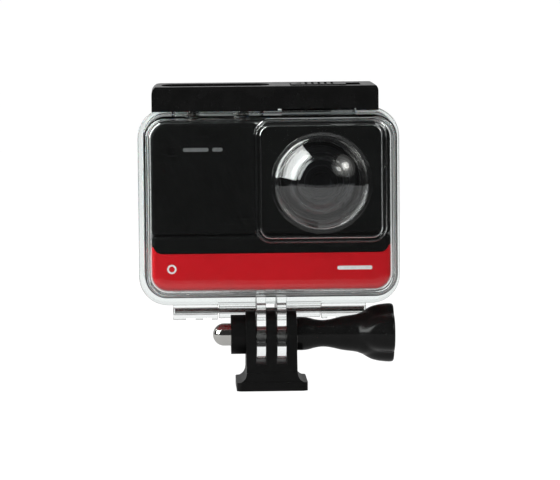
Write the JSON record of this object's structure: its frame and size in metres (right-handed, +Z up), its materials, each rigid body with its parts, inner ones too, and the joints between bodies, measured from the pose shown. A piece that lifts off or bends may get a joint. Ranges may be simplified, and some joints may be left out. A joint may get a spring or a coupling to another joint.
{
  "type": "action camera",
  "caption": "Modular 360 action camera with a red battery base in a clear dive housing with lens domes, top latch and bottom hinge, on a three-finger tripod mount.",
  "frame": {"origin": "middle of the overall box at the bottom, on the surface the mount stands on, midway between the two domes", "axes": "+Z up, the camera's front faces -Y, +X to the right of someone facing the front"},
  "size_m": [0.0774, 0.059, 0.0897],
  "materials": {
    "bracket_plastic": "satin moulded black",
    "black_gloss": "glossy moulded black",
    "camera_black": "satin soft-touch black",
    "battery_red": "deep red, semi-gloss",
    "clear_plastic": "polished clear plastic",
    "optical_glass": "coated optical glass",
    "screen_glass": "dark cover glass",
    "polished_steel": "polished",
    "plain_steel": "turned stainless steel",
    "brass": "knurled brass",
    "seal_rubber": "grey silicone rubber",
    "circuit_board": "green solder mask",
    "can_metal": "satin metal"
  },
  "bodies": {
    "mount": {"mount_bracket": "bracket_plastic", "tripod_thread_insert": "brass", "acorn_nut": "polished_steel"},
    "screw_carrier": {"thumb_washer": "plain_steel"},
    "knob": {"thumb_screw": "plain_steel", "thumb_knob": "black_gloss"},
    "housing": {"front_shell": "clear_plastic", "front_dome": "clear_plastic", "hinge_pin": "plain_steel", "shutter_o_ring": "seal_rubber", "power_o_ring": "seal_rubber", "shutter_spring": "plain_steel", "power_spring": "plain_steel", "core_front_cover": "camera_black", "core_back_cover": "camera_black", "touch_screen_glass": "screen_glass", "display_panel": "can_metal", "status_light_window": "optical_glass", "main_board": "circuit_board", "speaker": "can_metal", "lens_front_cover": "camera_black", "lens_back_cover": "camera_black", "battery_shell": "battery_red", "battery_top": "camera_black", "battery_cell": "can_metal", "front_lens": "optical_glass", "rear_lens": "optical_glass", "front_lens_ring": "black_gloss", "rear_lens_ring": "black_gloss", "front_lens_barrel": "camera_black", "rear_lens_barrel": "camera_black", "front_image_sensor": "can_metal", "rear_image_sensor": "can_metal"},
    "door": {"back_shell": "clear_plastic", "rear_dome": "clear_plastic", "door_seal": "seal_rubber"},
    "latch": {"latch_bar": "black_gloss", "latch_pin": "plain_steel", "latch_pad": "seal_rubber"},
    "lock": {"latch_lock": "black_gloss"},
    "shutter": {"shutter_plunger": "polished_steel", "shutter_clip": "plain_steel"},
    "power": {"power_plunger": "polished_steel", "power_clip": "plain_steel"},
    "camera_shutter": {"camera_shutter_button": "camera_black"},
    "camera_power": {"camera_power_button": "camera_black"}
  },
  "joints": [
    {"name": "housing_tilt", "type": "hinge", "parent": "mount", "child": "housing", "pos_m": [0, -0.003, 0.0157], "axis": [1, 0, 0], "range_deg": [-60, 75]},
    {"name": "knob_turn", "type": "hinge", "parent": "screw_carrier", "child": "knob", "pos_m": [0, -0.003, 0.0157], "axis": [1, 0, 0], "range_deg": [0, 1080]},
    {"name": "screw_travel", "type": "slide", "parent": "mount", "child": "screw_carrier", "axis": [1, 0, 0], "range_m": [0, 0.0024]},
    {"name": "door_open", "type": "hinge", "parent": "housing", "child": "door", "pos_m": [0, 0.009, 0.0216], "axis": [-1, 0, 0], "range_deg": [0, 90]},
    {"name": "latch_lift", "type": "hinge", "parent": "door", "child": "latch", "pos_m": [0, 0.011, 0.0859], "axis": [-1, 0, 0], "range_deg": [0, 110]},
    {"name": "lock_slide", "type": "slide", "parent": "latch", "child": "lock", "axis": [1, 0, 0], "range_m": [0, 0.004]},
    {"name": "shutter_press", "type": "slide", "parent": "housing", "child": "shutter", "axis": [0, 0, -1], "range_m": [0, 0.0007], "stiffness_N_per_m": 600, "deforming": ["shutter_spring"]},
    {"name": "camera_shutter_press", "type": "slide", "parent": "housing", "child": "camera_shutter", "axis": [0, 0, -1], "range_m": [0, 0.0007]},
    {"name": "power_press", "type": "slide", "parent": "housing", "child": "power", "axis": [0, 0, -1], "range_m": [0, 0.0007], "stiffness_N_per_m": 600, "deforming": ["power_spring"]},
    {"name": "camera_power_press", "type": "slide", "parent": "housing", "child": "camera_power", "axis": [0, 0, -1], "range_m": [0, 0.0007]}
  ],
  "couplings": [
    {"joint": "knob_turn", "follows": "screw_travel", "rad_per_m": 7854},
    {"joint": "camera_shutter_press", "follows": "shutter_press", "ratio": 1},
    {"joint": "camera_power_press", "follows": "power_press", "ratio": 1}
  ]
}
